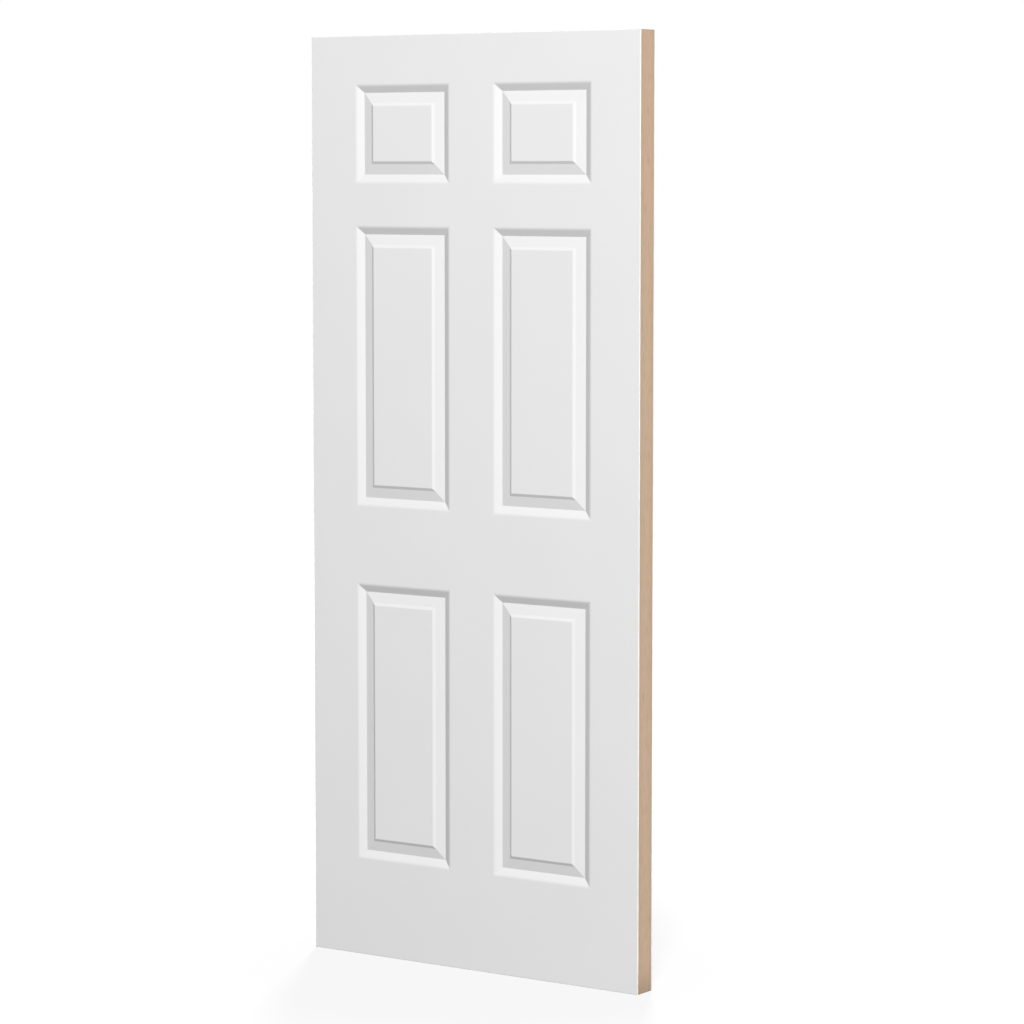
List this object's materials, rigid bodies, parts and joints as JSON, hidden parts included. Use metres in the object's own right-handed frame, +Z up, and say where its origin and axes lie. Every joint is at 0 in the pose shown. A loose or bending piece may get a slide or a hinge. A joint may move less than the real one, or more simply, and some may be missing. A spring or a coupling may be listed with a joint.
{
  "type": "panelled front door leaf",
  "caption": "Panelled front door leaf with moulded white facings, raised and bevelled panels, bare timber edges and an insulated core; hangs on hinges in a door frame.",
  "frame": {"origin": "middle of the leaf's bottom edge", "axes": "+Z up along the height, X across the width, outdoor face towards -Y"},
  "size_m": [0.838, 0.054, 1.981],
  "materials": {
    "white_facing": "smooth white primed facing, satin",
    "edge_timber": "planed bare hardwood, tan",
    "frame_timber": "sawn softwood, bare",
    "insulating_foam": "rigid closed-cell foam",
    "staple_wire": "bright steel wire"
  },
  "bodies": {
    "root": {"front_skin": "white_facing", "back_skin": "white_facing", "left_lipping": "edge_timber", "right_lipping": "edge_timber", "left_stile": "frame_timber", "right_stile": "frame_timber", "top_rail": "frame_timber", "bottom_rail": "frame_timber", "left_lock_block": "frame_timber", "right_lock_block": "frame_timber", "foam_core": "insulating_foam", "frame_staples": "staple_wire"}
  },
  "joints": []
}
